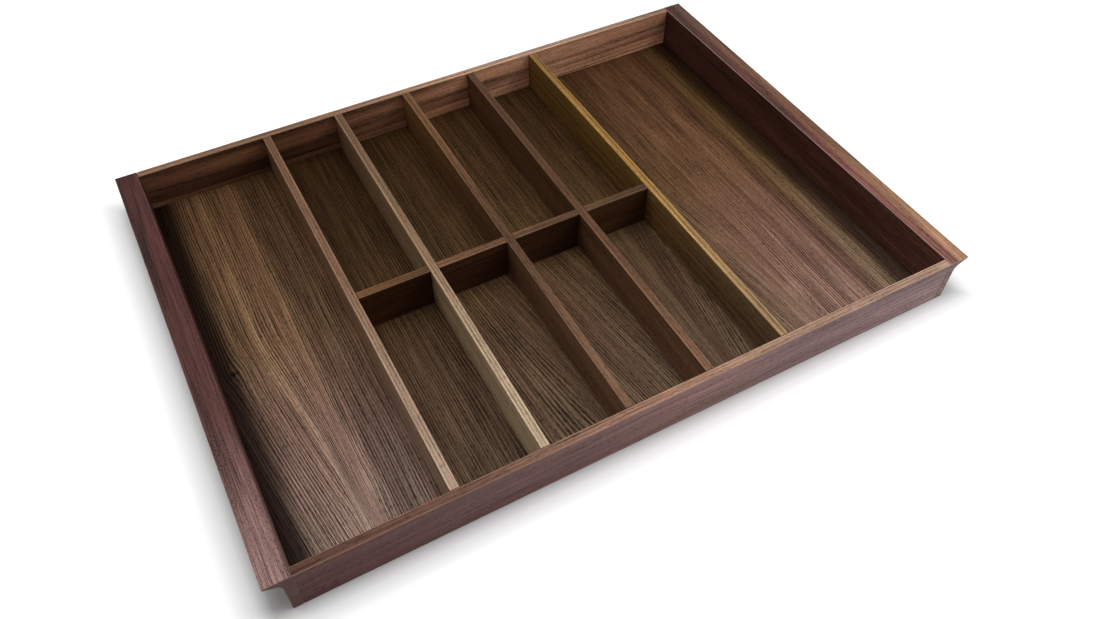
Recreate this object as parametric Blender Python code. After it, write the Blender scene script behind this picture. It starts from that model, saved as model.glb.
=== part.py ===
"""Walnut cutlery insert that lies in a kitchen drawer.

A glued tray of thin walnut boards: two moulded side rails, a front and a back rail between
them, five long dividers, four cross boards in one line, and a veneered base panel let into
the underside. Fluted dowels pin the butt joints. Metres, +Z up. The origin is on the plane
that the tray rests on, under its middle, with the front rail towards -Y.
"""

import math

import bmesh
import bpy
from mathutils import Vector

# Clear sizes of the compartments
LEFT_BAY_WIDTH = 0.1285
SMALL_BAY_WIDTH = 0.071
RIGHT_BAY_WIDTH = 0.1845
FRONT_BAY_DEPTH = 0.2145
BACK_BAY_DEPTH = 0.2495
BAY_HEIGHT = 0.045

# How many small compartments stand side by side
SMALL_BAY_COLUMNS = 4

# Boards
END_RAIL_THICKNESS = 0.008
DIVIDER_THICKNESS = 0.008
CROSS_BOARD_THICKNESS = 0.008
BASE_THICKNESS = 0.003
EASED_EDGE_RADIUS = 0.0007
EASED_EDGE_STEPS = 2

# Moulded side rails: an upright web with a lip that reaches outwards over the drawer side
RAIL_WEB_THICKNESS = 0.008
LIP_OVERHANG = 0.0135
LIP_TIP_THICKNESS = 0.0016
LIP_UNDERSIDE_FALL = 0.006
COVE_RADIUS = 0.008
COVE_STEPS = 7
LIP_EASE_SHARE = 0.35

# Rebate in the four rails that takes the base panel
REBATE_WIDTH = 0.004

# Dowels
DOWEL_DIAMETER = 0.004
DOWEL_FLUTES = 6
DOWEL_FLUTE_DEPTH = 0.0002
DOWEL_CHAMFER = 0.0005
DOWEL_DEPTH_IN_END_GRAIN = 0.014
WOOD_BEHIND_DOWEL = 0.0025
CORNER_DOWEL_LEVEL_SHARES = {"lower": 0.3, "upper": 0.7}
SINGLE_DOWEL_LEVEL_SHARE = 0.5
HOLE_SIDES = 12

# Clearance left between two pieces that meet, and how far a cutter runs past the wood
JOINT_GAP = 0.0003
CUT_OVERRUN = 0.002

# Edges that turn more than this are eased, and edges that turn more than this stay sharp
EASE_ANGLE = math.radians(40)
SMOOTH_ANGLE = math.radians(35)

# sRGB colours of the woods, with the sheen of a thin satin lacquer
SATIN_ROUGHNESS = 0.42
WOODS = {
    "walnut_purple_brown": "5b4246",
    "walnut_front_brown": "5f4a47",
    "walnut_back_brown": "6a4c3c",
    "walnut_right_brown": "6e5445",
    "walnut_pale_tan": "9a7a64",
    "walnut_red_brown": "7c5846",
    "walnut_sapwood_ochre": "8d6b3f",
    "walnut_dark_brown": "553d2f",
    "walnut_veneer": "5a4736",
    "beech": "c9a57c",
}

# Sizes that follow from the ones above
DIVIDER_COUNT = SMALL_BAY_COLUMNS + 1
SMALL_BAYS_WIDTH = SMALL_BAY_COLUMNS * SMALL_BAY_WIDTH
CLEAR_WIDTH = LEFT_BAY_WIDTH + SMALL_BAYS_WIDTH + RIGHT_BAY_WIDTH + DIVIDER_COUNT * DIVIDER_THICKNESS
CLEAR_DEPTH = FRONT_BAY_DEPTH + CROSS_BOARD_THICKNESS + BACK_BAY_DEPTH
OVERALL_WIDTH = CLEAR_WIDTH + 2 * (RAIL_WEB_THICKNESS + LIP_OVERHANG)
OVERALL_DEPTH = CLEAR_DEPTH + 2 * END_RAIL_THICKNESS
OVERALL_HEIGHT = BASE_THICKNESS + BAY_HEIGHT

LEFT_INNER_FACE = -CLEAR_WIDTH / 2
RIGHT_INNER_FACE = CLEAR_WIDTH / 2
FRONT_INNER_FACE = -CLEAR_DEPTH / 2
BACK_INNER_FACE = CLEAR_DEPTH / 2
FRONT_FACE = FRONT_INNER_FACE - END_RAIL_THICKNESS
BACK_FACE = BACK_INNER_FACE + END_RAIL_THICKNESS
CROSS_FRONT_FACE = FRONT_INNER_FACE + FRONT_BAY_DEPTH
CROSS_BACK_FACE = CROSS_FRONT_FACE + CROSS_BOARD_THICKNESS


def divider_left_face(index):
    """X of the left face of one long divider, counted from 0 at the left."""
    pitch = DIVIDER_THICKNESS + SMALL_BAY_WIDTH
    return LEFT_INNER_FACE + LEFT_BAY_WIDTH + index * pitch


def clear_scene():
    for obj in list(bpy.data.objects):
        bpy.data.objects.remove(obj, do_unlink=True)


def linear_channel(value):
    """One sRGB channel, from 0 to 255, as a linear value."""
    share = value / 255
    if share <= 0.04045:
        return share / 12.92
    return ((share + 0.055) / 1.055) ** 2.4


def make_material(name, wood):
    """A plain lacquered wood in one of the colours of WOODS."""
    code = WOODS[wood]
    channels = [linear_channel(int(code[at:at + 2], 16)) for at in (0, 2, 4)]
    material = bpy.data.materials.new(name)
    material.use_nodes = True
    shader = material.node_tree.nodes["Principled BSDF"]
    shader.inputs["Base Color"].default_value = (*channels, 1.0)
    shader.inputs["Roughness"].default_value = SATIN_ROUGHNESS
    shader.inputs["Metallic"].default_value = 0.0
    return material


def add_object(name, shape, centre, wood):
    """Turns a bmesh, drawn round its own centre, into a named piece that stands at centre."""
    bmesh.ops.recalc_face_normals(shape, faces=shape.faces)
    mesh = bpy.data.meshes.new(name)
    shape.to_mesh(mesh)
    shape.free()
    mesh.shade_smooth()
    mesh.set_sharp_from_angle(angle=SMOOTH_ANGLE)
    piece = bpy.data.objects.new(name, mesh)
    piece.location = centre
    bpy.context.collection.objects.link(piece)
    if wood:
        mesh.materials.append(make_material(name + "_" + wood, wood))
    return piece


def ease_edges(shape, radius):
    """Rounds every edge where two faces meet at a clear angle, as a sanding block would."""
    bmesh.ops.recalc_face_normals(shape, faces=shape.faces)
    edges = [edge for edge in shape.edges if edge.calc_face_angle(0.0) > EASE_ANGLE]
    bmesh.ops.bevel(shape, geom=edges, offset=radius, segments=EASED_EDGE_STEPS,
                    profile=0.5, affect="EDGES", clamp_overlap=True)


def box_into(shape, low, high):
    """Adds a box between two corners to a bmesh."""
    low, high = Vector(low), Vector(high)
    corners = bmesh.ops.create_cube(shape, size=1.0)["verts"]
    middle = (low + high) / 2
    for corner in corners:
        corner.co = middle + corner.co * (high - low)
    return corners


def pin_frame(axis):
    """The two directions across a pin that lies along X or Y, and the one along it."""
    if axis == "X":
        return Vector((0, 1, 0)), Vector((0, 0, 1)), Vector((1, 0, 0))
    return Vector((0, 0, 1)), Vector((1, 0, 0)), Vector((0, 1, 0))


def rings_into(shape, rings, axis, middle):
    """Adds a closed turned body to a bmesh: rings is a list of (place along axis, radii)."""
    across, upward, along = pin_frame(axis)
    loops = []
    for place, radii in rings:
        loop = []
        for number, radius in enumerate(radii):
            angle = 2 * math.pi * number / len(radii)
            out = across * math.cos(angle) + upward * math.sin(angle)
            loop.append(shape.verts.new(middle + along * place + out * radius))
        loops.append(loop)
    count = len(loops[0])
    for lower, upper in zip(loops, loops[1:]):
        for number in range(count):
            after = (number + 1) % count
            shape.faces.new((lower[number], lower[after], upper[after], upper[number]))
    shape.faces.new(list(reversed(loops[0])))
    shape.faces.new(loops[-1])


def make_board(name, low, high, wood):
    """A straight board between two corners, with every edge eased."""
    centre = (Vector(low) + Vector(high)) / 2
    shape = bmesh.new()
    box_into(shape, Vector(low) - centre, Vector(high) - centre)
    ease_edges(shape, EASED_EDGE_RADIUS)
    return add_object(name, shape, centre, wood)


def side_rail_outline():
    """The rail's section as (distance out from its inner face, height) points.

    The underside of the lip falls in a straight line towards the web, and a cove that is
    tangent to both joins them.
    """
    top = OVERALL_HEIGHT
    lip_edge = RAIL_WEB_THICKNESS + LIP_OVERHANG
    slope = math.atan2(LIP_UNDERSIDE_FALL, LIP_OVERHANG)
    corner_height = top - LIP_TIP_THICKNESS - LIP_UNDERSIDE_FALL
    turn = math.pi / 2 - slope
    centre_out = RAIL_WEB_THICKNESS + COVE_RADIUS
    centre_height = corner_height - COVE_RADIUS * math.tan(turn / 2)
    points = [(0.0, 0.0), (RAIL_WEB_THICKNESS, 0.0)]
    for step in range(COVE_STEPS + 1):
        angle = math.pi - turn * step / COVE_STEPS
        out = centre_out + COVE_RADIUS * math.cos(angle)
        height = centre_height + COVE_RADIUS * math.sin(angle)
        points.append((out, height))
    points += [(lip_edge, top - LIP_TIP_THICKNESS), (lip_edge, top), (0.0, top)]
    return points


def make_side_rail(name, inner_face, outward, wood):
    """A moulded rail that runs the whole depth; outward is -1 on the left and 1 on the right."""
    centre = Vector((inner_face + outward * RAIL_WEB_THICKNESS / 2, 0.0, OVERALL_HEIGHT / 2))
    half_depth = OVERALL_DEPTH / 2
    shape = bmesh.new()
    ends = []
    for y in (-half_depth, half_depth):
        ring = []
        for out, height in side_rail_outline():
            place = Vector((inner_face + outward * out, y, height))
            ring.append(shape.verts.new(place - centre))
        ends.append(ring)
    count = len(ends[0])
    for number in range(count):
        after = (number + 1) % count
        shape.faces.new((ends[0][number], ends[0][after], ends[1][after], ends[1][number]))
    shape.faces.new(ends[0])
    shape.faces.new(ends[1])
    ease_edges(shape, min(EASED_EDGE_RADIUS, LIP_TIP_THICKNESS * LIP_EASE_SHARE))
    return add_object(name, shape, centre, wood)


def make_end_rail(name, outer_face, inner_face, wood):
    """The front or the back rail, which fits between the two side rails."""
    low = (LEFT_INNER_FACE + JOINT_GAP, min(outer_face, inner_face), 0.0)
    high = (RIGHT_INNER_FACE - JOINT_GAP, max(outer_face, inner_face), OVERALL_HEIGHT)
    return make_board(name, low, high, wood)


def base_corners():
    """The base panel's two corners: its edges lie in the rebates of the four rails."""
    reach = REBATE_WIDTH - JOINT_GAP
    low = Vector((LEFT_INNER_FACE - reach, FRONT_INNER_FACE - reach, 0.0))
    high = Vector((RIGHT_INNER_FACE + reach, BACK_INNER_FACE + reach, BASE_THICKNESS))
    return low, high


def make_base_panel():
    low, high = base_corners()
    centre = (low + high) / 2
    shape = bmesh.new()
    box_into(shape, low - centre, high - centre)
    return add_object("base_panel", shape, centre, "walnut_veneer")


def make_divider(index, wood):
    """A long divider that stands on the base and butts against the front and back rails."""
    left = divider_left_face(index)
    low = (left, FRONT_INNER_FACE + JOINT_GAP, BASE_THICKNESS + JOINT_GAP)
    high = (left + DIVIDER_THICKNESS, BACK_INNER_FACE - JOINT_GAP, OVERALL_HEIGHT)
    return make_board(f"long_divider_{index + 1}", low, high, wood)


def make_cross_board(index, wood):
    """A short board between two neighbouring dividers; all four stand in one line."""
    left = divider_left_face(index) + DIVIDER_THICKNESS + JOINT_GAP
    right = divider_left_face(index + 1) - JOINT_GAP
    low = (left, CROSS_FRONT_FACE, BASE_THICKNESS + JOINT_GAP)
    high = (right, CROSS_BACK_FACE, OVERALL_HEIGHT)
    return make_board(f"cross_board_{index + 1}", low, high, wood)


def level(share):
    """Height of a dowel, as a share of the walls' height above the base."""
    return BASE_THICKNESS + BAY_HEIGHT * share


def pin(name, axis, start, end, across, height):
    """One dowel: it lies along X or Y from start to end, at a place across it and a height."""
    middle = (start + end) / 2
    centre = (middle, across, height) if axis == "X" else (across, middle, height)
    return {"name": name, "axis": axis, "centre": Vector(centre), "length": end - start}


def corner_pins():
    """Two dowels in each corner of the frame, from the rail's web into the end rail."""
    pins = []
    in_web = RAIL_WEB_THICKNESS - WOOD_BEHIND_DOWEL
    in_end = DOWEL_DEPTH_IN_END_GRAIN
    middles = {"front": (FRONT_FACE + FRONT_INNER_FACE) / 2, "back": (BACK_FACE + BACK_INNER_FACE) / 2}
    for end_name, y in middles.items():
        for level_name, share in CORNER_DOWEL_LEVEL_SHARES.items():
            left = (LEFT_INNER_FACE - in_web, LEFT_INNER_FACE + in_end)
            right = (RIGHT_INNER_FACE - in_end, RIGHT_INNER_FACE + in_web)
            for side_name, span in (("left", left), ("right", right)):
                name = f"corner_dowel_{end_name}_{side_name}_{level_name}"
                pins.append(pin(name, "X", *span, y, level(share)))
    return pins


def divider_pins():
    """One dowel at each end of each long divider."""
    pins = []
    in_rail = END_RAIL_THICKNESS - WOOD_BEHIND_DOWEL
    in_end = DOWEL_DEPTH_IN_END_GRAIN
    height = level(SINGLE_DOWEL_LEVEL_SHARE)
    for index in range(DIVIDER_COUNT):
        x = divider_left_face(index) + DIVIDER_THICKNESS / 2
        front = (FRONT_INNER_FACE - in_rail, FRONT_INNER_FACE + in_end)
        back = (BACK_INNER_FACE - in_end, BACK_INNER_FACE + in_rail)
        pins.append(pin(f"divider_dowel_{index + 1}_front", "Y", *front, x, height))
        pins.append(pin(f"divider_dowel_{index + 1}_back", "Y", *back, x, height))
    return pins


def cross_pins():
    """One dowel at each divider on the cross line.

    It stops inside the two outer dividers and goes through the others, into the cross
    board on each side.
    """
    pins = []
    in_outer = DIVIDER_THICKNESS - WOOD_BEHIND_DOWEL
    in_end = DOWEL_DEPTH_IN_END_GRAIN
    y = (CROSS_FRONT_FACE + CROSS_BACK_FACE) / 2
    height = level(SINGLE_DOWEL_LEVEL_SHARE)
    for index in range(DIVIDER_COUNT):
        left = divider_left_face(index)
        right = left + DIVIDER_THICKNESS
        start = left - in_end if index > 0 else right - in_outer
        end = right + in_end if index < DIVIDER_COUNT - 1 else left + in_outer
        pins.append(pin(f"cross_dowel_{index + 1}", "X", start, end, y, height))
    return pins


def make_dowel(spec):
    """A fluted pin with chamfered ends: crests and flutes take turns round it."""
    crest = DOWEL_DIAMETER / 2
    valley = crest - DOWEL_FLUTE_DEPTH
    outline = [crest, valley] * DOWEL_FLUTES
    tip = [radius - DOWEL_CHAMFER for radius in outline]
    half = spec["length"] / 2 - JOINT_GAP
    rings = [(-half, tip), (DOWEL_CHAMFER - half, outline), (half - DOWEL_CHAMFER, outline), (half, tip)]
    shape = bmesh.new()
    rings_into(shape, rings, spec["axis"], Vector((0, 0, 0)))
    return add_object(spec["name"], shape, spec["centre"], "beech")


def hole_into(shape, spec):
    """Adds the drilled hole of a dowel, which is a clearance wider than the dowel."""
    half = spec["length"] / 2
    radii = [DOWEL_DIAMETER / 2 + JOINT_GAP] * HOLE_SIDES
    rings_into(shape, [(-half, radii), (half, radii)], spec["axis"], spec["centre"])


def pocket_into(shape):
    """Adds the pocket of the base panel, which leaves a clearance round it."""
    low, high = base_corners()
    gap = Vector((JOINT_GAP, JOINT_GAP, JOINT_GAP))
    low = low - gap
    low.z = -CUT_OVERRUN
    box_into(shape, low, high + gap)


def cut(piece, pins, with_pocket):
    """Drills a piece for its dowels and, for a rail, cuts the rebate of the base panel."""
    shape = bmesh.new()
    for spec in pins:
        hole_into(shape, spec)
    if with_pocket:
        pocket_into(shape)
    cutter = add_object("cutter", shape, Vector((0, 0, 0)), None)
    modifier = piece.modifiers.new("cut", "BOOLEAN")
    modifier.operation = "DIFFERENCE"
    modifier.solver = "EXACT"
    modifier.object = cutter
    depsgraph = bpy.context.evaluated_depsgraph_get()
    mesh = bpy.data.meshes.new_from_object(piece.evaluated_get(depsgraph))
    piece.modifiers.clear()
    piece.data = mesh
    bpy.data.objects.remove(cutter, do_unlink=True)


def build_rails(corners, ends):
    """The four rails of the frame, drilled and rebated."""
    left = make_side_rail("left_side_rail", LEFT_INNER_FACE, -1, "walnut_purple_brown")
    right = make_side_rail("right_side_rail", RIGHT_INNER_FACE, 1, "walnut_right_brown")
    front = make_end_rail("front_rail", FRONT_FACE, FRONT_INNER_FACE, "walnut_front_brown")
    back = make_end_rail("back_rail", BACK_FACE, BACK_INNER_FACE, "walnut_back_brown")
    cut(left, [spec for spec in corners if "_left_" in spec["name"]], True)
    cut(right, [spec for spec in corners if "_right_" in spec["name"]], True)
    for piece, word in ((front, "_front"), (back, "_back")):
        cut(piece, [spec for spec in corners + ends if word in spec["name"]], True)


def build_dividers(ends, crosses):
    """The long dividers, each drilled at both ends and on the cross line."""
    woods = ["walnut_pale_tan", "walnut_pale_tan", "walnut_red_brown", "walnut_red_brown",
             "walnut_sapwood_ochre"]
    for index in range(DIVIDER_COUNT):
        piece = make_divider(index, woods[index % len(woods)])
        own = [spec for spec in ends if spec["name"].startswith(f"divider_dowel_{index + 1}_")]
        cut(piece, own + [crosses[index]], False)


def build_cross_boards(crosses):
    """The cross boards, each drilled at both ends."""
    for index in range(SMALL_BAY_COLUMNS):
        piece = make_cross_board(index, "walnut_dark_brown")
        cut(piece, crosses[index:index + 2], False)


def main():
    clear_scene()
    corners, ends, crosses = corner_pins(), divider_pins(), cross_pins()
    make_base_panel()
    build_rails(corners, ends)
    build_dividers(ends, crosses)
    build_cross_boards(crosses)
    for spec in corners + ends + crosses:
        make_dowel(spec)
    sizes = (OVERALL_WIDTH, OVERALL_DEPTH, OVERALL_HEIGHT)
    print("overall size in mm:", [round(size * 1000, 2) for size in sizes])
    print("pieces:", len(bpy.data.objects))


main()
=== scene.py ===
# %% [markdown]
# # A walnut drawer insert
# The imported model gives every board of the tray in metres, with the front rail towards -Y.
# This lesson dresses those boards in procedural walnut, lights them softly and looks down on
# them from the front left. The first cell loads the model as a fixed frame that nothing
# moves, and notes its box, from which the floor's glow is measured.

# %% Load the imported model
import math

import bmesh
import bpy
from mathutils import Euler, Matrix, Vector


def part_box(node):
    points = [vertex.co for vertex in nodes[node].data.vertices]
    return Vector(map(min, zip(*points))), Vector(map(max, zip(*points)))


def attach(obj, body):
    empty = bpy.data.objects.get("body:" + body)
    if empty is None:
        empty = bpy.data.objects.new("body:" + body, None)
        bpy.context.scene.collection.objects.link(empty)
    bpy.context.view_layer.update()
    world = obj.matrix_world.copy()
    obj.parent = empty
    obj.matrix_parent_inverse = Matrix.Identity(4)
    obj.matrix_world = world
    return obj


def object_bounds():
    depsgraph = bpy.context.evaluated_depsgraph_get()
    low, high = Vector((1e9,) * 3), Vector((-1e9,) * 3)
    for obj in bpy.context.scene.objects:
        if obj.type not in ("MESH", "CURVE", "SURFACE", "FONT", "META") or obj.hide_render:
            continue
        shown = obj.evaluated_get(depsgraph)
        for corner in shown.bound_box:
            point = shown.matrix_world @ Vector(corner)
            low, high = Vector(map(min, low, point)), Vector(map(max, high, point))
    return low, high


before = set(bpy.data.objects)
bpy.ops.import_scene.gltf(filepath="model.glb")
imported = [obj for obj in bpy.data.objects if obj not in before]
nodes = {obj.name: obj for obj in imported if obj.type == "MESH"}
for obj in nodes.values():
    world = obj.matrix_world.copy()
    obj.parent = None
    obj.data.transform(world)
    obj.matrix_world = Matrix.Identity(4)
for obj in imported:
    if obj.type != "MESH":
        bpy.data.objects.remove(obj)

MM = 0.001
packed_box = [list(corner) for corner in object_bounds()]
print("boards and dowels:", len(nodes))
print("packed box:", packed_box)

# %% [markdown]
# ## Nodes
# A shader is a little graph of nodes. One helper adds a node with its settings and its
# links, so that the materials below read like a recipe. Sockets are called by their names.
# Where a node has several sockets of one name, as Math and Mix do, they are counted from
# the top instead.

# %% One node
MIX_A, MIX_B, MIX_COLOUR = 6, 7, 2     # a Mix node's two colours, and its mixed colour


def plug(node, inputs):
    """Fills a node's inputs. A value is typed in, and another node's output is linked."""
    for key, value in inputs.items():
        if isinstance(value, bpy.types.NodeSocket):
            node.id_data.links.new(value, node.inputs[key])
        else:
            node.inputs[key].default_value = value


def put(tree, kind, inputs, take=0, stops=None, **settings):
    """Adds one node and returns one of its outputs.

    inputs maps a socket's name or number to a value, or to an output that feeds it.
    stops are the (place, colour) pairs of a colour ramp.
    """
    node = tree.nodes.new("ShaderNode" + kind)
    for name, value in settings.items():
        setattr(node, name, value)
    plug(node, inputs)
    if stops:
        ramp = node.color_ramp.elements
        while len(ramp) < len(stops):
            ramp.new(1.0)
        for element, (place, colour) in zip(ramp, stops):
            element.position = place
            element.color = colour
    return node.outputs[take] if node.outputs else None


def blank(name):
    """A new material, with its tree of nodes and its shader."""
    material = bpy.data.materials.new(name)
    material.use_nodes = True
    tree = material.node_tree
    return material, tree, tree.nodes["Principled BSDF"]


print("colours of a Mix node are its inputs", MIX_A, "and", MIX_B)

# %% [markdown]
# ## Colours
# A picture editor shows a colour as an sRGB hex code, which is spaced for the eye. Light
# adds up on another scale, the linear one, and Blender mixes colours there. One function
# turns the first into the second, so that every wood below can be written as hex.

# %% Hex codes and greys
def tone(code):
    """An sRGB hex code as a linear colour."""
    channels = []
    for at in (0, 2, 4):
        share = int(code[at:at + 2], 16) / 255
        low, high = share / 12.92, ((share + 0.055) / 1.055) ** 2.4
        channels.append(low if share <= 0.04045 else high)
    return (*channels, 1.0)


def grey(level):
    return (level, level, level, 1.0)


WHITE = grey(1.0)
print("dark walnut in linear light:", [round(part, 3) for part in tone("523431")[:3]])

# %% [markdown]
# ## Walnut: year rings
# Solid walnut shows its growth rings on every face at once: stripes where the saw ran along
# a radius, arches where it ran flat. An image laid on each face can't follow that round an
# edge. A solid texture can: every point of the board asks how far it is from the middle of
# the tree, and the lines come from that distance, counted in years. Each ring is palest
# early in the year and darkest at its end. No two years are alike, so a slow noise changes
# their width, and a number per year changes their strength.

# %% Year rings
LATEWOOD = [(0.0, grey(0.4)), (0.2, grey(0.0)), (0.55, grey(0.2)), (0.85, grey(1.0)),
            (1.0, grey(0.4))]
WIDTH_CHANGE = 0.31     # waves of wide and narrow rings, per year


def year_rings(tree, ring, look):
    """Rings of uneven width and strength, from a distance counted in years.

    Returns the uneven count, the darkness inside each ring, and the light that it takes.
    """
    slow = put(tree, "Math", {0: ring, 1: WIDTH_CHANGE}, operation="MULTIPLY")
    drift = put(tree, "TexNoise", {"W": slow, "Scale": 1.0, "Detail": 1.0},
                noise_dimensions="1D")
    ring = put(tree, "Math", {0: drift, 1: look["drift"], 2: ring}, operation="MULTIPLY_ADD")
    part = put(tree, "Math", {0: ring}, operation="FRACT")
    year = put(tree, "Math", {0: ring}, operation="FLOOR")
    line = put(tree, "ValToRGB", {0: part}, stops=look["profile"])
    vigour = put(tree, "TexWhiteNoise", {"W": year}, noise_dimensions="1D")
    vigour = put(tree, "MapRange", {"Value": vigour, "To Min": look["faint"] * look["late"],
                                    "To Max": look["late"]})
    late = put(tree, "Math", {0: line, 1: vigour}, operation="MULTIPLY")
    return ring, line, late


print("stops inside one ring:", len(LATEWOOD))

# %% [markdown]
# ## Walnut: bands of tone
# Good and bad years leave wide bands, some darker, some rosier and some more golden, and
# minerals stain the trunk in long clouds. So one noise runs across the rings, another lies
# in the wood itself, and the two together swing the brightness. The bands alone swing the
# hue.

# %% Bands and clouds
ROSY, GOLDEN = (1.08, 0.95, 0.95, 1.0), (0.97, 1.03, 0.94, 1.0)
CLOUD = (200.0, 14.0)           # mm along and across the grain
NOISE_SPAN = (0.3, 0.7)         # a noise seldom leaves these values
TWO_NOISES = (0.7, 1.3)         # and the sum of two seldom leaves these
HUE_SPAN = (0.2, 0.8)           # no band is all rosy or all golden


def per_length(along, across):
    """A scale that makes a pattern longer along the grain, which runs along X."""
    return (1 / along, 1 / across, 1 / across)


def tone_bands(tree, place, ring, look, tint):
    """Returns the swing of the brightness, and the hue as a colour to multiply by."""
    cloud = put(tree, "VectorMath", {0: place, 1: per_length(*CLOUD)}, operation="MULTIPLY")
    cloud = put(tree, "TexNoise", {"Vector": cloud, "Scale": 1.0, "Detail": 2.0})
    wide = put(tree, "Math", {0: ring, 1: look["band"]}, operation="MULTIPLY")
    band = put(tree, "TexNoise", {"W": wide, "Scale": 1.0, "Detail": 1.0},
               noise_dimensions="1D")
    blend = put(tree, "Math", {0: band, 1: cloud}, operation="ADD")
    swing = put(tree, "MapRange", {
        "Value": blend, "From Min": TWO_NOISES[0], "From Max": TWO_NOISES[1],
        "To Min": 1.0 - look["swing"], "To Max": 1.0 + look["swing"]}, clamp=False)
    hue = put(tree, "MapRange", {
        "Value": band, "From Min": NOISE_SPAN[0], "From Max": NOISE_SPAN[1],
        "To Min": HUE_SPAN[0], "To Max": HUE_SPAN[1]})
    hue = put(tree, "Mix", {0: hue, MIX_A: ROSY, MIX_B: GOLDEN}, take=MIX_COLOUR,
              data_type="RGBA")
    hue = put(tree, "VectorMath", {0: hue, 1: tint}, operation="MULTIPLY")
    return swing, hue


print("stain clouds in mm:", CLOUD)

# %% [markdown]
# ## Walnut: fibres and pores
# Fibres streak the wood, and open pores cut along their length show as short dark flecks.
# Both come from noise stretched along the grain. Real pores are 0.1 to 0.3 mm wide and the
# fibres are finer still, less than a pixel of the picture, so both are drawn about 1 mm
# wide, just coarse enough to show.

# %% Fibres and pores
FIBRE = (60.0, 0.8)             # mm along and across the grain
PORE_EDGE = (0.5, 0.66)         # where in its noise a pore begins, and where it is full
PORE_CROWDING = 0.05            # pores crowd a little towards the dark part of a ring


def fibres_and_pores(tree, place, line, look):
    """Returns the brightness of the fibres, their noise, and the pores, 1 inside one."""
    fibre = put(tree, "VectorMath", {0: place, 1: per_length(*FIBRE)}, operation="MULTIPLY")
    fibre = put(tree, "TexNoise", {"Vector": fibre, "Scale": 1.0, "Detail": 3.0,
                                   "Roughness": 0.7})
    fleck = put(tree, "VectorMath", {0: place, 1: per_length(*look["pore"])},
                operation="MULTIPLY")
    fleck = put(tree, "TexNoise", {"Vector": fleck, "Scale": 1.0, "Detail": 2.0,
                                   "Roughness": 0.6})
    crowd = put(tree, "Math", {0: line, 1: PORE_CROWDING, 2: fleck}, operation="MULTIPLY_ADD")
    pore = put(tree, "MapRange", {"Value": crowd, "From Min": PORE_EDGE[0],
                                  "From Max": PORE_EDGE[1]}, interpolation_type="SMOOTHSTEP")
    light = put(tree, "MapRange", {
        "Value": fibre, "From Min": NOISE_SPAN[0], "From Max": NOISE_SPAN[1],
        "To Min": 1.0 - look["fibre"], "To Max": 1.0 + look["fibre"]}, clamp=False)
    return light, fibre, pore


print("fibres in mm:", FIBRE)

# %% [markdown]
# ## Walnut: tops, ends and arrises
# A board doesn't look the same all over. A top can be set brighter or darker than its
# faces, and more so at one end: painted light, as the top faces the lamps while the faces
# lie in shade. Its end grain is open and takes another tone than the faces. Its arrises,
# the long edges, get a painted highlight, as an eased edge catches the light. All three can
# be told from the normal, the direction that a face looks in: a top looks up, end grain
# looks along the board, and an eased edge looks between two directions.

# %% Tell the faces apart
LOOKS_UP = (0.5, 0.95)          # the normal's height where a top begins, and where it is full
LOOKS_ALONG = (0.85, 0.97)      # the same for end grain
EASED = (0.995, 0.86)           # the largest part of a normal on a flat face, and on an edge


def faces(tree):
    """Returns how far a face looks up, from 0 to 1, and how far along each axis."""
    normal = put(tree, "NewGeometry", {}, take="Normal")
    up = put(tree, "SeparateXYZ", {0: normal}, take="Z")
    up = put(tree, "MapRange", {"Value": up, "From Min": LOOKS_UP[0],
                                "From Max": LOOKS_UP[1]})
    size = put(tree, "VectorMath", {0: normal}, operation="ABSOLUTE")
    sides = {axis: put(tree, "SeparateXYZ", {0: size}, take=axis) for axis in "XYZ"}
    return up, sides


def top_and_end(tree, up, sides, share, look, cap):
    """Returns how bright the top is, as painted light, and the colours of the top and of the
    end grain.
    """
    near, far = look["top"]
    painted_top_light = put(tree, "MapRange", {"Value": share, "To Min": near, "To Max": far})
    painted_top_light = put(tree, "MapRange", {"Value": up, "To Min": 1.0, "To Max": painted_top_light})
    cap = put(tree, "Mix", {0: up, MIX_A: WHITE, MIX_B: cap}, take=MIX_COLOUR,
              data_type="RGBA")
    end = put(tree, "MapRange", {"Value": sides[look["along"]], "From Min": LOOKS_ALONG[0],
                                 "From Max": LOOKS_ALONG[1]})
    end = put(tree, "Mix", {0: end, MIX_A: WHITE, MIX_B: (*look["end"], 1.0)},
              take=MIX_COLOUR, data_type="RGBA")
    return painted_top_light, cap, end


def paint_arris_highlight(tree, colour, sides, look):
    """Mixes a pale colour over the eased edges: a painted highlight on each arris."""
    flat = put(tree, "Math", {0: sides["X"], 1: sides["Y"]}, operation="MAXIMUM")
    flat = put(tree, "Math", {0: flat, 1: sides["Z"]}, operation="MAXIMUM")
    painted_arris_highlight = put(tree, "MapRange", {"Value": flat, "From Min": EASED[0], "From Max": EASED[1],
                                  "To Min": 0.0, "To Max": look["painted_arris_highlight"]})
    return put(tree, "Mix", {0: painted_arris_highlight, MIX_A: colour, MIX_B: tone(look["edge"])},
               take=MIX_COLOUR, data_type="RGBA")


print("an edge is eased where no part of its normal passes", EASED[0])

# %% [markdown]
# ## Walnut: a hill and a dark heart
# A figure in the wood often fades on all sides: a stripe of heartwood, a knot, a curl. The
# bell curve is the simplest shape that does so. It is 1 in the middle and falls smoothly to
# 0, and a node graph needs only a square and a power of e for it.

# %% Bell curve and heartwood stripe
HEART_FADE = (0.1, 0.75)        # where along the board the stripe starts to fade, and ends


def fall(tree, square):
    """A bell from the square of a distance."""
    down = put(tree, "Math", {0: square, 1: -1.0}, operation="MULTIPLY")
    return put(tree, "Math", {0: down}, operation="EXPONENT")


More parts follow.
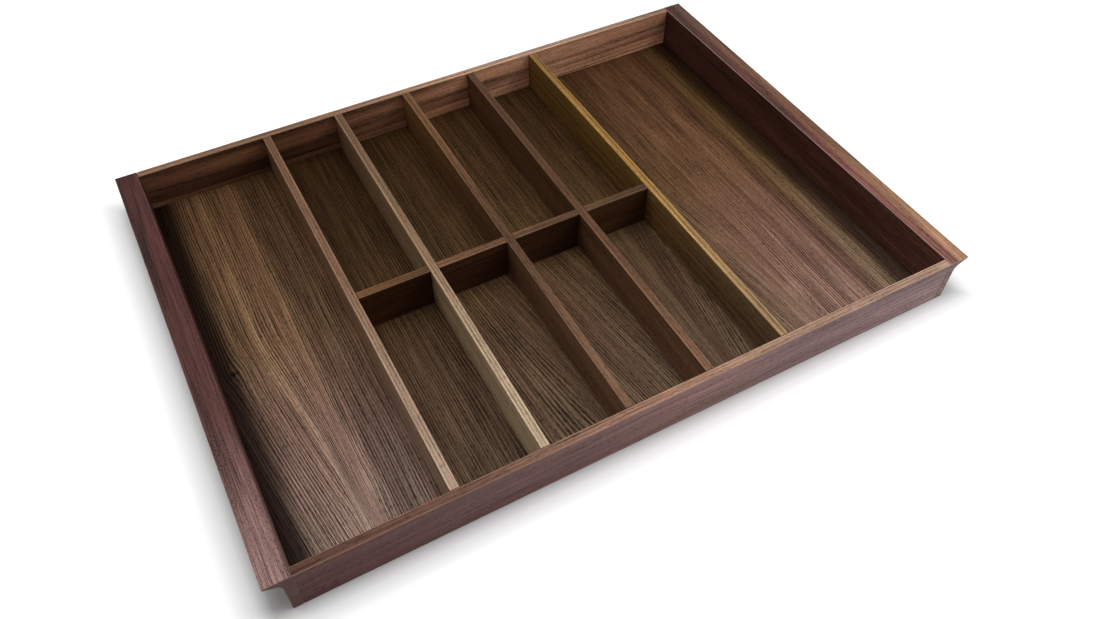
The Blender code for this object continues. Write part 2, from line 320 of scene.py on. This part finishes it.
def heart_stripe(tree, colour, place, share, height, width, depth):
    """Darkens a stripe along the board, at a height in mm from the middle of the tree."""
    off = put(tree, "SeparateXYZ", {0: place}, take="Z")
    off = put(tree, "Math", {0: off, 1: -height}, operation="ADD")
    off = put(tree, "Math", {0: off, 1: 1 / width}, operation="MULTIPLY")
    square = put(tree, "Math", {0: off, 1: off}, operation="MULTIPLY")
    fade = put(tree, "MapRange", {"Value": share, "From Min": HEART_FADE[0],
                                  "From Max": HEART_FADE[1], "To Min": -depth, "To Max": 0.0})
    level = put(tree, "Math", {0: fall(tree, square), 1: fade, 2: 1.0},
                operation="MULTIPLY_ADD")
    return put(tree, "VectorMath", {0: colour, "Scale": level}, operation="SCALE")


print("the heart fades over", HEART_FADE, "of the board")

# %% [markdown]
# ## Walnut: the whole finish
# The boards are oiled, not lacquered. Oil sinks in and leaves the pores open, so the sheen
# is low and soft: the roughness is near a half, and less light mirrors off than from a
# closed film of the same index. A board also changes tone along its length, partly its
# own and partly painted light: paler and greyer towards the front for a sheen, and lighter
# or darker towards one end where more or less light falls. So its tones are a short list
# from one end to the other. This cell multiplies the layers above together and sends them
# to the shader.

# %% From layers to shader
OIL_IOR = 1.48                  # drying oil in wood
DARKEST = 0.12                  # even a pore at the end of a dark year keeps this much light
DULLER, SHINIER = 0.14, 0.03    # roughness that a pore adds, and that closed wood loses
RELIEF = 0.15 * MM              # height of the fibres that stand up between the pores
RELIEF_STRENGTH = 0.35


def finish_walnut(tree, shader, place, ring, share, look, gain=1.0, tint=WHITE[:3],
                  cap=WHITE):
    """Colours a board, and adds its lines, fibres, pores, painted edge highlights and sheen.

    ring is the distance from the middle of the tree in years, share runs from 0 to 1 along
    the board, gain and tint brighten and colour a figure, gain with painted shade and
    highlights on the veneer, and cap colours the top alone.
    """
    ring, line, late = year_rings(tree, ring, look)
    swing, hue = tone_bands(tree, place, ring, look, tint)
    light, fibre, pore = fibres_and_pores(tree, place, line, look)
    up, sides = faces(tree)
    painted_top_light, cap, end = top_and_end(tree, up, sides, share, look, cap)
    light = put(tree, "Math", {0: late, 1: -1.0, 2: light}, operation="MULTIPLY_ADD")
    light = put(tree, "Math", {0: pore, 1: -look["fleck"], 2: light},
                operation="MULTIPLY_ADD")
    light = put(tree, "Math", {0: light, 1: DARKEST}, operation="MAXIMUM")
    for factor in (swing, gain, painted_top_light, look["gain"]):
        light = put(tree, "Math", {0: light, 1: factor}, operation="MULTIPLY")
    tones = look["tones"]
    colour = put(tree, "ValToRGB", {0: share}, stops=[
        (at / (len(tones) - 1), tone(code)) for at, code in enumerate(tones)])
    for factor in (hue, cap, end):
        colour = put(tree, "VectorMath", {0: colour, 1: factor}, operation="MULTIPLY")
    colour = put(tree, "VectorMath", {0: colour, "Scale": light}, operation="SCALE")
    if look["heart"]:
        colour = heart_stripe(tree, colour, place, share, *look["heart"])
    rough = put(tree, "MapRange", {"Value": pore, "To Min": look["rough"] - SHINIER,
                                   "To Max": look["rough"] + DULLER})
    relief = put(tree, "Math", {0: pore, 1: -1.0, 2: fibre}, operation="MULTIPLY_ADD")
    bump = put(tree, "Bump", {"Height": relief, "Strength": RELIEF_STRENGTH,
                              "Distance": RELIEF})
    plug(shader, {"Base Color": paint_arris_highlight(tree, colour, sides, look), "Roughness": rough,
                  "Normal": bump, "IOR": OIL_IOR, "Specular IOR Level": look["sheen"]})


print("index of oiled wood:", OIL_IOR)

# %% [markdown]
# ## A board's look
# Every board starts from one set of numbers and changes only what sets it apart. Lengths
# are in mm, and the rest are shares. Across a top, the two arrises get a painted highlight
# and are paler than the middle, so its colour is a short ramp from one arris to the other.

# %% The usual look
ARRIS_HIGHLIGHT_LEVELS = [(0.0, 1.3), (0.3, 0.95), (0.7, 0.9), (1.0, 1.25)]


def top_with_arris_highlights(colour, levels=ARRIS_HIGHLIGHT_LEVELS):
    """Colours across a top: one colour at several levels of brightness, paler at the
    arrises as a painted highlight.
    """
    return [(at, tuple(level * part for part in colour)) for at, level in levels]


USUAL_LOOK = {
    "along": "Y",                    # the axis that the grain follows
    "spacing": 3.2, "drift": 1.2,    # ring width, and how unevenly the rings follow
    "sway": 7.0, "tilt": 0.8,        # how far the rings wander, and their slope in degrees
    "profile": LATEWOOD,             # darkness inside one ring
    "late": 0.5, "faint": 0.4,       # depth of the strongest line, and share of the faintest
    "band": 0.11, "swing": 0.25,     # bands per year, and how much they change the light
    "fibre": 0.4, "fleck": 0.35,     # depth of the fibres and of the pores
    "pore": (5.0, 0.8),              # size of a pore
    # A top's brightness against its faces is painted light.
    "gain": 1.4, "top": (1.0, 1.0),  # brightness of the board, and of its top at both ends
    "cap": top_with_arris_highlights(WHITE[:3]),      # colours across its top
    "end": (0.35, 0.33, 0.33),       # colour of its end grain
    # The arrises' paleness is a painted highlight.
    "painted_arris_highlight": 0.6, "heart": None,      # how pale the arrises are, and a heartwood stripe
    "rough": 0.45, "sheen": 0.12,    # roughness, and the shader's Specular IOR Level
}
print("numbers in a look:", len(USUAL_LOOK))

# %% [markdown]
# ## Solid boards
# Each board gets its own place in a tree. The Mapping node turns the room's metres into mm
# in that tree, with the trunk along X, and a small slope stops the lines from running dead
# straight. A slow noise then sways the rings, as no tree grows quite straight, and the
# distance from the trunk's middle is divided by the ring width.

# %% Wood for one board
BOARDS_APART = 613.0            # mm along the trunk, so that no two boards share a pattern
SWAY = (300.0, 60.0)            # mm along and across the grain


def solid_walnut(name, node, along, pith, seed, **changes):
    """Solid wood for one board. pith is how far the middle of the tree lies from the middle
    of the board, across the board and up, in mm."""
    look = {**USUAL_LOOK, "along": along, **changes}
    material, tree, shader = blank(name)
    low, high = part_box(node)
    turn = Euler((0, math.radians(look["tilt"]), 0 if along == "X" else -math.pi / 2), "XYZ")
    middle = turn.to_matrix() @ ((low + high) / 2 / MM)
    shift = Vector((seed * BOARDS_APART, -pith[0], -pith[1])) - middle
    room = put(tree, "TexCoord", {}, take="Object")
    place = put(tree, "Mapping", {"Vector": room, "Location": shift, "Rotation": turn,
                                  "Scale": (1 / MM, 1 / MM, 1 / MM)})
    x, y = (put(tree, "SeparateXYZ", {0: room}, take=axis) for axis in "XY")
    rightwards = put(tree, "MapRange", {"Value": x, "From Min": low.x, "From Max": high.x})
    if along == "X":
        share = rightwards
        side = put(tree, "MapRange", {"Value": y, "From Min": low.y, "From Max": high.y})
    else:
        share = put(tree, "MapRange", {"Value": y, "From Min": high.y, "From Max": low.y})
        side = rightwards
    cap = put(tree, "ValToRGB", {0: side},
              stops=[(at, (*colour, 1.0)) for at, colour in look["cap"]])
    sway = put(tree, "VectorMath", {0: place, 1: per_length(*SWAY)}, operation="MULTIPLY")
    sway = put(tree, "TexNoise", {"Vector": sway, "Scale": 1.0, "Detail": 2.0}, take="Color")
    reach = look["sway"]
    sway = put(tree, "VectorMath", {0: sway, 1: (0, reach, reach),
                                    2: (0, -reach / 2, -reach / 2)}, operation="MULTIPLY_ADD")
    grown = put(tree, "VectorMath", {0: place, 1: sway}, operation="ADD")
    grown = put(tree, "VectorMath", {0: grown, 1: (0, 1, 1)}, operation="MULTIPLY")
    radius = put(tree, "VectorMath", {0: grown}, take="Value", operation="LENGTH")
    ring = put(tree, "Math", {0: radius, 1: look["spacing"]}, operation="DIVIDE")
    finish_walnut(tree, shader, place, ring, share, look, cap=cap)
    return material


def dress(node, material):
    """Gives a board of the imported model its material."""
    nodes[node].data.materials.clear()
    nodes[node].data.materials.append(material)


print("boards lie", BOARDS_APART, "mm apart in the tree")

# %% [markdown]
# ## The rails
# The two side rails are dark, rather purple wood, and the front and back rails were cut
# paler. The left rail is mottled, with fine short pores. The right rail was cut where
# sapwood begins: its top is brown along the inner half and tan along the outer one, and a
# painted highlight runs along its inner arris. The back rail has a dark stripe of heartwood
# at its left. Tones run from the back to the front, or from left to right, and hold painted
# light too: paler towards the front for a sheen, and the front and back rails lighter
# towards their right ends.

# %% Rails
# Painted highlights on the side rails' arrises; the left rail's inner arris is darker.
OUTER_HIGHLIGHT_INNER_DARK = [(0.0, 1.2), (0.1, 1.0), (0.92, 1.0), (1.0, 0.8)]
BROWN_TO_TAN_WITH_HIGHLIGHT = [(0.0, (1.5, 1.7, 1.7)), (0.07, (0.85, 0.85, 0.9)), (0.35, (0.8, 0.85, 0.85)),
                (0.5, (1.0, 1.3, 1.1)), (1.0, (1.2, 1.7, 1.3))]
RAILS = [
    ("left_side_rail", "Y", (9, -38), 1,
     {"tones": ["4a2a28", "492b29", "523431", "846966"], "edge": "8a6a62",
      "cap": top_with_arris_highlights(WHITE[:3], OUTER_HIGHLIGHT_INNER_DARK), "end": (0.5, 0.38, 0.4), "fleck": 0.5,
      "pore": (1.5, 1.0), "late": 0.45, "fibre": 0.7, "tilt": 2.2}),
    ("right_side_rail", "Y", (30, -30), 2,
     {"tones": ["3b221e", "40251f", "54362f"], "edge": "b8a8a4", "painted_arris_highlight": 0.85,
      "cap": BROWN_TO_TAN_WITH_HIGHLIGHT, "end": (2.6, 4.1, 5.2), "top": (1.75, 2.9), "swing": 0.5,
      "late": 0.4, "spacing": 2.4, "drift": 2.5, "fibre": 0.65}),
    ("front_rail", "X", (40, 20), 3,
     {"tones": ["5d3d3a", "8e6d6a", "9c8383"], "edge": "b08e76", "painted_arris_highlight": 0.8,
      "cap": top_with_arris_highlights((0.95, 0.95, 0.7)), "top": (0.67, 1.18), "swing": 0.35, "late": 0.38,
      "spacing": 2.3, "drift": 2.5, "fibre": 0.5}),
    ("back_rail", "X", (35, 14), 4,
     {"tones": ["78533d", "654430", "a8795e", "bc8f74", "ab7d62"], "edge": "c0a288",
      "cap": top_with_arris_highlights((0.95, 1.15, 1.3)), "top": (1.75, 0.62), "swing": 0.5, "band": 0.3,
      "heart": (-18.0, 9.0, 0.65), "late": 0.6, "spacing": 4.0}),
]
for node, along, pith, seed, changes in RAILS:
    dress(node, solid_walnut("oiled_walnut_" + node, node, along, pith, seed, **changes))
print("rails dressed:", len(RAILS))

# %% [markdown]
# ## The dividers
# The five long dividers were cut from five planks: two pale, two brown and one with
# yellow sapwood. The short cross boards between them are dark: their faces carry painted
# shade for the deep compartments, darkest towards their right ends, and their tops are
# brightened to be as pale as the dividers' tops.

# %% Long dividers and cross boards
CROSS_TOP = top_with_arris_highlights((0.92, 1.12, 1.12))
# Tones: paler at the front is painted sheen; darker at the cross boards' right is painted shade
DIVIDERS = [
    ("long_divider_1", (28, 20), ["5e4330", "7c5f4b", "a58e7c"], "a58a70", {}),
    ("long_divider_2", (-32, 16), ["604735", "856c54", "b8a48c"], "b8a080", {}),
    ("long_divider_3", (30, -22), ["614328", "503725", "6f5340"], "8c6c54", {}),
    ("long_divider_4", (-26, 26), ["4a311f", "4f3422", "745541"], "8c6c54", {}),
    ("long_divider_5", (34, -12), ["614722", "6a4e28", "6f5a43"], "a88a58",
     {"top": (1.8, 1.8)}),
    ("cross_board_1", (18, 26), ["3a2212", "2e1a0e"], "7a5c44",
     {"top": (3.4, 3.4), "cap": CROSS_TOP}),
    ("cross_board_2", (-20, 22), ["3f261a", "351f15"], "7a5c44",
     {"top": (3.4, 3.4), "cap": CROSS_TOP}),
    ("cross_board_3", (22, -24), ["40281a", "2e1a10"], "7a5c44",
     {"top": (2.5, 2.5), "cap": CROSS_TOP}),
    ("cross_board_4", (-16, 28), ["482e1c", "372215"], "7a5c44",
     {"top": (1.6, 1.6), "cap": CROSS_TOP}),
]
for seed, (node, pith, tones, edge, changes) in enumerate(DIVIDERS, len(RAILS) + 1):
    along = "X" if node.startswith("cross") else "Y"
    dress(node, solid_walnut("oiled_walnut_" + node, node, along, pith, seed, tones=tones,
                             edge=edge, **changes))
print("dividers and cross boards dressed:", len(DIVIDERS))

# %% [markdown]
# ## The veneered base
# The floor of every compartment is one thin panel faced with sliced veneer. A slicing knife
# cuts the rings almost square, so the face shows fine straight lines a few millimetres
# apart, thin and pale on a darker ground. Where the trunk leaned, one part of a leaf runs at
# a slant and meets the straight part at a shallow angle, and round a small knot the lines
# open like an eye. So this material starts from the distance across the panel. These tables
# say, strip by strip and in mm from the middle, how much the lines lean, how pale the wood
# is, with painted shade along the walls and in the narrow compartments, and how it is tinted.

# %% Strips of the panel
QUARTERED = [(0.0, grey(0.8)), (0.3, grey(1.0)), (0.44, grey(0.7)), (0.55, grey(0.0)),
             (0.68, grey(0.0)), (0.8, grey(1.0)), (1.0, grey(0.8))]
LEANS = [(-318, 0.13), (-258, 0.13), (-236, 0.0), (-130, 0.0), (-103, 0.04), (-80, 0.06),
         (-45, 0.13), (47, 0.14), (55, 0.0), (82, 0.0), (104, -0.12), (126, -0.1), (134, 0.13),
         (186, 0.13), (208, 0.0), (318, 0.0)]
# Strip paleness: own tone, with painted shade along the walls and in narrow compartments
PALENESS_AND_PAINTED_SHADE = [(-318, 0.08), (-306, 0.18), (-294, 1.05), (-262, 1.36), (-240, 1.34), (-224, 0.78),
          (-206, 0.8), (-191, 1.08), (-182, 0.38), (-111, 0.47), (-103, 0.42), (-32, 0.57),
          (-24, 0.56), (47, 0.62), (55, 0.52), (126, 0.56), (134, 0.42), (168, 0.68), (195, 1.0),
          (225, 0.97), (266, 0.92), (273, 0.75), (292, 0.68), (303, 0.36), (318, 0.14)]
ASHEN, HONEY, RUSSET = (0.93, 0.96, 0.97), (0.97, 0.96, 0.76), (0.98, 0.88, 0.85)
# At the two walls, RUSSET browns the painted shade.
HUES = [(-318, RUSSET), (-300, ASHEN), (-196, ASHEN), (-180, HONEY), (150, HONEY),
        (210, RUSSET), (264, RUSSET), (285, HONEY), (300, HONEY), (318, RUSSET)]
PANEL_HALF = 320.0


def strips(table, colour):
    """Stops of a ramp across the panel, from a table of mm and values."""
    return [((at + PANEL_HALF) / (2 * PANEL_HALF), colour(value)) for at, value in table]


print("strips:", len(LEANS), "leans,", len(PALENESS_AND_PAINTED_SHADE), "shades,", len(HUES), "tints")

# %% [markdown]
# ## Bent lines
# A lean is a sideways drift that grows with the distance below the line where the trunk
# began to lean; a smooth minimum rounds the bend there. An eye is a pair of hills that push
# the lines apart, one to each side of its middle. Two of them get a painted highlight, a
# bright spot where curled grain would catch the light, and the knot gets a dark heart.

# %% Lean and eyes
LEAN_TOP, LEAN_BEND = 10.0, 40.0    # mm from the middle of the panel, and size of the bend
LEAN_SPAN = 0.25                    # the ramp of leans covers -LEAN_SPAN to LEAN_SPAN
# Each eye: its middle, how wide and long it is, and how far it pushes the lines, in mm
KNOT = (-304, -13, 13, 20, 7.0)
CURLS = [(-240, -172, 8, 18, 3.5), (201, -172, 8, 18, 3.5)]
# The bright spots of the two curls are painted highlights.
CURL_SHIFT, CURL_WIDE, CURL_LONG, CURL_PAINTED_HIGHLIGHT = 2, 0.9, 0.8, 0.4
KNOT_HEART, KNOT_LOSS = (3.5, 2.2), 0.3


def hill(tree, x, y, middle, size):
    """Returns a bell-shaped hill, and the distance across it in halves of its width."""
    across = put(tree, "Math", {0: x, 1: -middle[0]}, operation="ADD")
    across = put(tree, "Math", {0: across, 1: 1 / size[0]}, operation="MULTIPLY")
    along = put(tree, "Math", {0: y, 1: -middle[1]}, operation="ADD")
    along = put(tree, "Math", {0: along, 1: 1 / size[1]}, operation="MULTIPLY")
    square = put(tree, "Math", {0: along, 1: along}, operation="MULTIPLY")
    square = put(tree, "Math", {0: across, 1: across, 2: square}, operation="MULTIPLY_ADD")
    return fall(tree, square), across


def bend(tree, x, y, strip):
    """The distance across the panel with the leans and the eyes taken out."""
    lean = put(tree, "ValToRGB", {0: strip}, stops=strips(
        LEANS, lambda tilt: grey(0.5 + tilt / (2 * LEAN_SPAN))))
    lean = put(tree, "MapRange", {"Value": lean, "To Min": -LEAN_SPAN, "To Max": LEAN_SPAN})
    below = put(tree, "Math", {0: y, 1: -LEAN_TOP}, operation="ADD")
    below = put(tree, "Math", {0: below, 1: 0.0, 2: LEAN_BEND}, operation="SMOOTH_MIN")
    across = put(tree, "Math", {0: lean, 1: below, 2: x}, operation="MULTIPLY_ADD")
    for at_x, at_y, wide, long, push in [KNOT, *CURLS]:
        rise, side = hill(tree, x, y, (at_x, at_y), (wide, long))
        spread = put(tree, "Math", {0: rise, 1: side}, operation="MULTIPLY")
        across = put(tree, "Math", {0: spread, 1: -push, 2: across}, operation="MULTIPLY_ADD")
    return across


def paleness_and_painted_light(tree, x, y, strip):
    """How pale each place is: its strip with its painted shade, the curls' painted
    highlights and the dark heart of the knot.
    """
    gain = put(tree, "ValToRGB", {0: strip}, stops=strips(PALENESS_AND_PAINTED_SHADE, grey))
    for at_x, at_y, wide, long, push in CURLS:
        spot = hill(tree, x, y, (at_x + CURL_SHIFT, at_y),
                    (wide * CURL_WIDE, long * CURL_LONG))[0]
        gain = put(tree, "Math", {0: spot, 1: CURL_PAINTED_HIGHLIGHT, 2: gain}, operation="MULTIPLY_ADD")
    heart = hill(tree, x, y, KNOT[:2], KNOT_HEART)[0]
    return put(tree, "Math", {0: heart, 1: -KNOT_LOSS, 2: gain}, operation="MULTIPLY_ADD")


print("eyes:", 1 + len(CURLS))

# %% [markdown]
# ## Veneer
# The bent distance takes the place of the distance from the middle of a tree, and the rest
# is the walnut of the boards. The veneer has fine, sharp, pale lines and almost no sheen,
# since it lies deep in the tray and was only wiped with oil.

# %% Base panel
VENEER_SWAY = (220.0, 40.0)     # mm along and across the grain
VENEER_LOOK = {**USUAL_LOOK, "spacing": 2.6, "drift": 0.5, "profile": QUARTERED,
               "late": 0.78, "band": 0.12, "fibre": 0.55, "pore": (5.0, 0.7), "gain": 2.0,
               # the paler, greyer front of these tones is painted sheen
               "tones": ["473221", "543d2b", "654d3a", "745c52", "7f6b62"],
               "edge": "84684c", "sheen": 0.03}


def veneer(name, node, look):
    material, tree, shader = blank(name)
    low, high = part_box(node)
    room = put(tree, "TexCoord", {}, take="Object")
    depth = put(tree, "SeparateXYZ", {0: room}, take="Y")
    share = put(tree, "MapRange", {"Value": depth, "From Min": high.y, "From Max": low.y})
    flat = put(tree, "VectorMath", {0: room, "Scale": 1 / MM}, operation="SCALE")
    x, y = (put(tree, "SeparateXYZ", {0: flat}, take=axis) for axis in "XY")
    strip = put(tree, "MapRange", {"Value": x, "From Min": -PANEL_HALF,
                                   "From Max": PANEL_HALF})
    across = bend(tree, x, y, strip)
    place = put(tree, "CombineXYZ", {0: y, 1: across, 2: 0.0})
    sway = put(tree, "VectorMath", {0: place, 1: per_length(*VENEER_SWAY)},
               operation="MULTIPLY")
    sway = put(tree, "TexNoise", {"Vector": sway, "Scale": 1.0, "Detail": 2.0})
    across = put(tree, "Math", {0: sway, 1: look["sway"], 2: across},
                 operation="MULTIPLY_ADD")
    ring = put(tree, "Math", {0: across, 1: look["spacing"]}, operation="DIVIDE")
    tint = put(tree, "ValToRGB", {0: strip}, stops=strips(HUES, lambda hue: (*hue, 1.0)))
    finish_walnut(tree, shader, place, ring, share, look, paleness_and_painted_light(tree, x, y, strip), tint)
    return material


dress("base_panel", veneer("walnut_veneer", "base_panel", VENEER_LOOK))
print("veneer lines in mm apart:", VENEER_LOOK["spacing"])

# %% [markdown]
# ## Dowels
# The joints are pinned with fluted beech dowels, which the boards hide. Beech is pale and
# even, with short darker flecks a millimetre or so long, and turned without any finish, so
# it is quite matt.

# %% Beech
BEECH_FLECKS = 700.0            # per metre
beech, tree, shader = blank("beech_dowel_wood")
place = put(tree, "TexCoord", {}, take="Object")
fleck = put(tree, "TexNoise", {"Vector": place, "Scale": BEECH_FLECKS, "Detail": 2.0})
plug(shader, {
    "Base Color": put(tree, "ValToRGB", {0: fleck},
                      stops=[(0.35, tone("b98f66")), (0.6, tone("cfae85"))]),
    "Roughness": put(tree, "MapRange", {"Value": fleck, "To Min": 0.55, "To Max": 0.7}),
})
dowels = [name for name in nodes if "dowel" in name]
for name in dowels:
    dress(name, beech)
print("dowels dressed:", len(dowels))

# %% [markdown]
# ## Glue
# Where two boards meet, a film of glue no thicker than a few sheets of paper fills the
# joint, and without it daylight would shine through the corners. Wood glue dries to a hard
# brown line, a little shinier than the oiled wood and cloudy where it took up dust.

# %% Dried wood glue
GLUE_CLOUDS = 400.0             # per metre
glue, tree, shader = blank("dried_wood_glue")
place = put(tree, "TexCoord", {}, take="Object")
cloud = put(tree, "TexNoise", {"Vector": place, "Scale": GLUE_CLOUDS, "Detail": 2.0})
plug(shader, {
    "Base Color": put(tree, "ValToRGB", {0: cloud},
                      stops=[(0.3, tone("33241c")), (0.7, tone("4a372b"))]),
    "Roughness": put(tree, "MapRange", {"Value": cloud, "To Min": 0.4, "To Max": 0.6}),
})
print("glue is named", glue.name)

# %% [markdown]
# ## Glue films
# Each film is a thin plate between the end of a rail and the wall of a side rail. Its edges
# are rounded, as a glue line shrinks when it dries, and it stops just short of the surface.
# The two boards' boxes say where it goes, so nothing is measured by hand.

# %% Films in the four corners
FILM_INSET = 1.0 * MM
FILM_ROUND = 0.1 * MM


def film(name, low, high):
    """A thin plate between two corners in metres, with rounded edges."""
    mesh = bpy.data.meshes.new(name)
    shape = bmesh.new()
    bmesh.ops.create_cube(shape, size=1.0)
    bmesh.ops.scale(shape, vec=high - low, verts=shape.verts)
    bmesh.ops.translate(shape, vec=(low + high) / 2, verts=shape.verts)
    bmesh.ops.bevel(shape, geom=shape.edges[:], offset=FILM_ROUND, segments=2,
                    affect="EDGES")
    shape.to_mesh(mesh)
    shape.free()
    mesh.materials.append(glue)
    piece = bpy.data.objects.new(name, mesh)
    bpy.context.scene.collection.objects.link(piece)
    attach(piece, "root")


for place in ("front", "back"):
    low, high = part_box(place + "_rail")
    gaps = {"left": (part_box("left_side_rail")[1].x, low.x),
            "right": (high.x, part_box("right_side_rail")[0].x)}
    for side, ends in gaps.items():
        film("glue_line_" + place + "_" + side,
             Vector((min(ends), low.y + FILM_INSET, low.z + FILM_INSET)),
             Vector((max(ends), high.y - FILM_INSET, high.z - FILM_INSET)))
        print(place, side, "film in mm:", round(abs(ends[1] - ends[0]) / MM, 2))

# %% [markdown]
# ## Ground
# The tray lies on plain matt white paper that takes the soft shadow close to the boards.
# Away from the tray the lamps fade, and the paper would turn grey. So a glow rises with the
# distance from the tray and keeps the sheet pure white. Only the camera, a mirrored ray or
# one through glass sees it, so it adds nothing to the light that the wood scatters.

# %% Floor
FLOOR_SIZE = 12.0
PAPER = 0.68                    # share of the light that the paper scatters
GLOW_REACH = 0.25               # metres from the tray to the last stop
GLOWS = [(0.0, grey(0.0)), (0.05, grey(0.3)), (0.12, grey(0.52)), (1.0, grey(1.0))]


def seen_directly(tree):
    """1 for a ray from the camera, off a glossy surface or through glass, otherwise 0."""
    seen = put(tree, "LightPath", {}, take="Is Camera Ray")
    for kind in ("Is Glossy Ray", "Is Transmission Ray"):
        seen = put(tree, "Math", {0: seen, 1: put(tree, "LightPath", {}, take=kind)},
                   operation="MAXIMUM")
    return seen


bpy.ops.mesh.primitive_plane_add(size=FLOOR_SIZE)
floor = bpy.context.object
floor.name = "floor"
paper, tree, shader = blank("matt_white_paper")
tree.nodes.clear()
apart = put(tree, "TexCoord", {}, take="Object")
apart = put(tree, "VectorMath", {0: apart}, operation="ABSOLUTE")
apart = put(tree, "VectorMath", {0: apart, 1: packed_box[1]}, operation="SUBTRACT")
apart_x, apart_y = (put(tree, "SeparateXYZ", {0: apart}, take=axis) for axis in "XY")
apart = put(tree, "Math", {0: apart_x, 1: apart_y}, operation="MAXIMUM")
glow = put(tree, "MapRange", {"Value": apart, "From Min": 0.0, "From Max": GLOW_REACH})
glow = put(tree, "ValToRGB", {0: glow}, stops=GLOWS)
glow = put(tree, "Math", {0: seen_directly(tree), 1: glow}, operation="MULTIPLY")
glow = put(tree, "Emission", {"Color": WHITE, "Strength": glow})
matt = put(tree, "BsdfDiffuse", {"Color": grey(PAPER)})
both = put(tree, "AddShader", {0: matt, 1: glow})
put(tree, "OutputMaterial", {"Surface": both})
floor.data.materials.append(paper)
print("the glow is full", GLOW_REACH, "m from the tray")

# %% [markdown]
# ## World
# The world is white where the camera or a mirrored ray looks at it, and gives the boards
# only a little light from all sides. That fill keeps the deepest corners from going black.

# %% White room
WORLD_FILL = 0.15
world = bpy.data.worlds.new("white_room")
bpy.context.scene.world = world
world.use_nodes = True
tree = world.node_tree
strength = put(tree, "MapRange", {"Value": seen_directly(tree), "To Min": WORLD_FILL,
                                  "To Max": 1.0})
plug(tree.nodes["Background"], {"Color": WHITE, "Strength": strength})
print("fill from the room:", WORLD_FILL)

# %% [markdown]
# ## Lamps
# Wood looks best under large soft lights, because a small hard one would draw black shadows
# in every compartment. One wide soft box hangs over the tray and gives most of the light. A
# smaller one at the right lights the faces that look that way and the front rail, and a weak
# one at the left keeps the other faces from going flat. All three aim at the tray's middle.

# %% Soft boxes
LAMP_AIM = Vector((0.0, 0.0, 0.0))      # the tray's middle
LAMPS = [
    # name, place in metres, side of the square in metres, power in watts
    ("soft_top", (0.0, 0.0, 1.5), 1.2, 14.0),
    ("soft_right", (0.85, -0.45, 1.0), 0.6, 6.0),
    ("soft_left", (-0.85, 0.45, 1.0), 0.6, 2.6),
]
for name, spot, side, power in LAMPS:
    lamp = bpy.data.lights.new(name, "AREA")
    lamp.shape = "RECTANGLE"
    lamp.size = lamp.size_y = side
    lamp.energy = power
    stand = bpy.data.objects.new(name, lamp)
    stand.location = spot
    stand.rotation_euler = (LAMP_AIM - Vector(spot)).to_track_quat("-Z", "Y").to_euler()
    bpy.context.scene.collection.objects.link(stand)
    print(name, "gives", power, "W")

# %% [markdown]
# ## Camera
# The tray is seen from the front left and from close by, so the near boards look clearly
# larger than the far ones, and a moderately wide lens takes in the whole of it. The camera
# looks at a point just left of and in front of the tray's middle, and is rolled by half a
# degree, as a camera held in the hand is. The Standard view transform adds no look of its
# own to the colours.

# %% Camera and view
CAMERA_PLACE = Vector((-0.28783, -0.56575, 0.66882))
LOOKS_AT = Vector((-0.01714, -0.07907, 0.0))
CAMERA_ROLL = math.radians(-0.564)
LENS_MM, SENSOR_MM = 29.73, 36.0
lens = bpy.data.cameras.new("camera")
lens.lens, lens.sensor_width, lens.sensor_fit = LENS_MM, SENSOR_MM, "HORIZONTAL"
camera = bpy.data.objects.new("camera", lens)
aim = (LOOKS_AT - CAMERA_PLACE).to_track_quat("-Z", "Y").to_matrix()
turn = aim @ Matrix.Rotation(-CAMERA_ROLL, 3, "Z")
camera.matrix_world = Matrix.Translation(CAMERA_PLACE) @ turn.to_4x4()
bpy.context.scene.collection.objects.link(camera)
bpy.context.scene.camera = camera
bpy.context.scene.view_settings.view_transform = "Standard"
print("camera to tray in metres:", round((LOOKS_AT - CAMERA_PLACE).length, 3))
